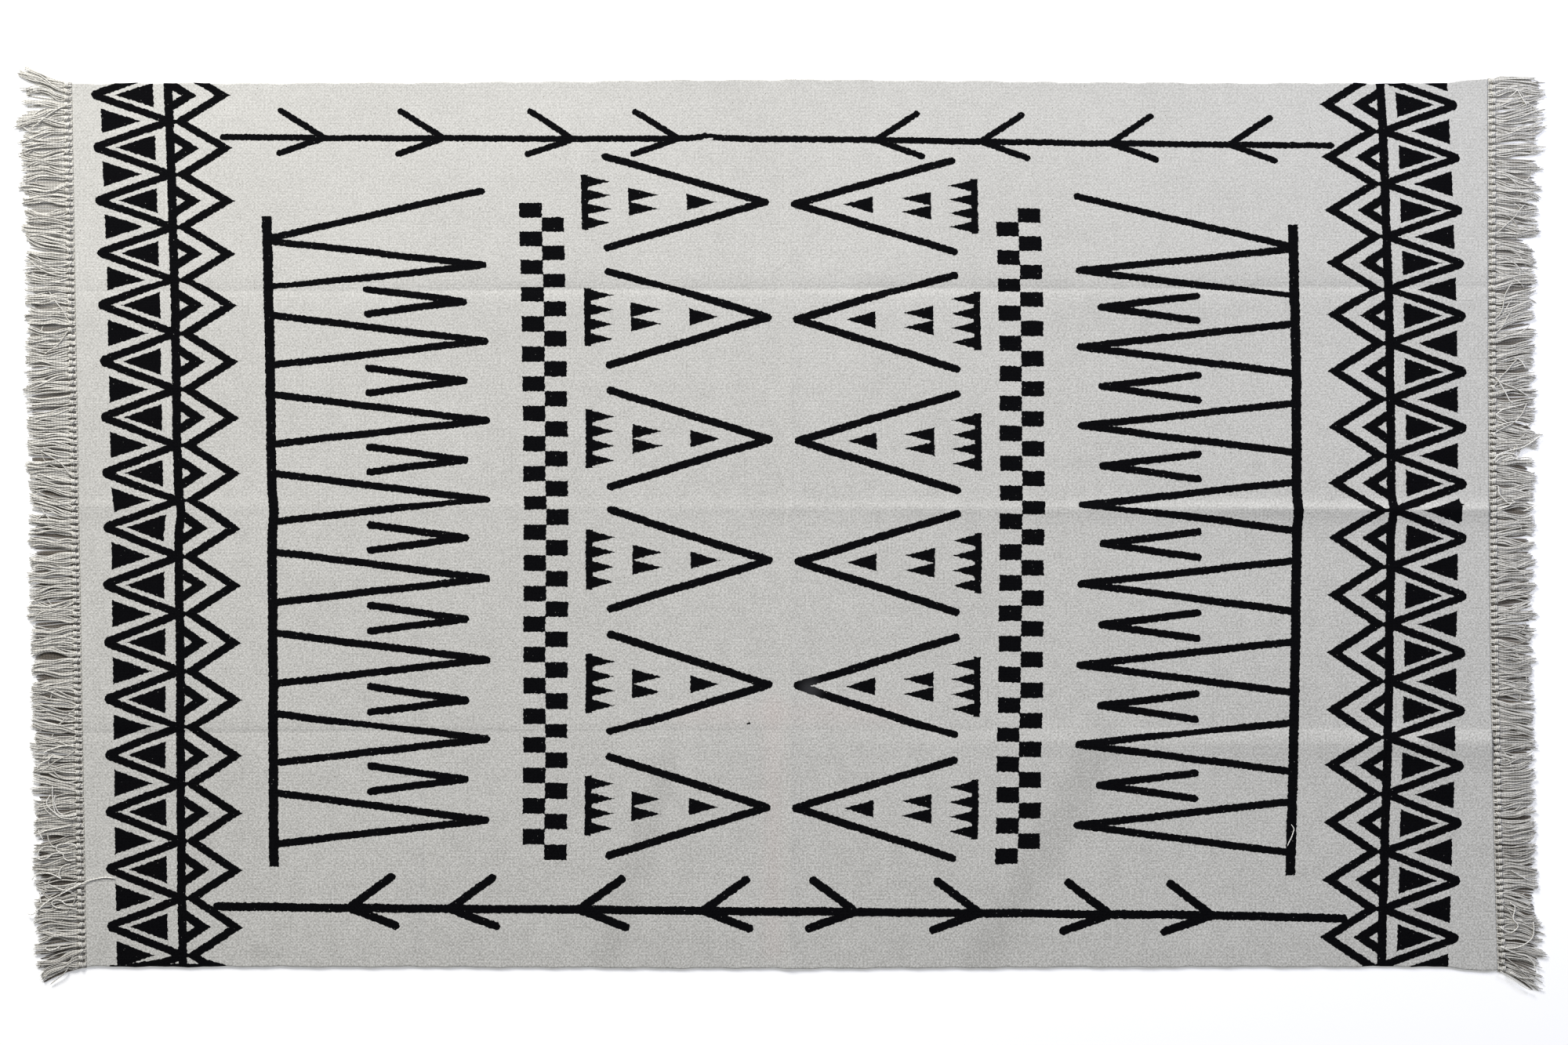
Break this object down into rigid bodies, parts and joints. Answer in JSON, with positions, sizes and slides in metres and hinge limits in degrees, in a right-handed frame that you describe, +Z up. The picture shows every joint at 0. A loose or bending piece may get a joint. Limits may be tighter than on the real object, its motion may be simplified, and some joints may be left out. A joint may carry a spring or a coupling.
{
  "type": "cotton rug",
  "caption": "Flat-woven rectangular cotton rug with a printed geometric design and a knotted fringe at both ends, lying flat.",
  "frame": {"origin": "middle of the rug's box, on the floor that it lies on", "axes": "+X along the warp from the left fringe to the right one, +Y across the rug towards the edge that is uppermost in the picture, +Z up from the floor"},
  "size_m": [2.578, 1.5622, 0.008],
  "materials": {
    "cotton_ground": "flat-woven undyed cotton with black pigment print, matt",
    "fringe_yarn": "plied undyed cotton warp yarn, matt"
  },
  "bodies": {
    "root": {"cloth": "cotton_ground", "fringe_left": "fringe_yarn", "fringe_right": "fringe_yarn"}
  },
  "joints": []
}
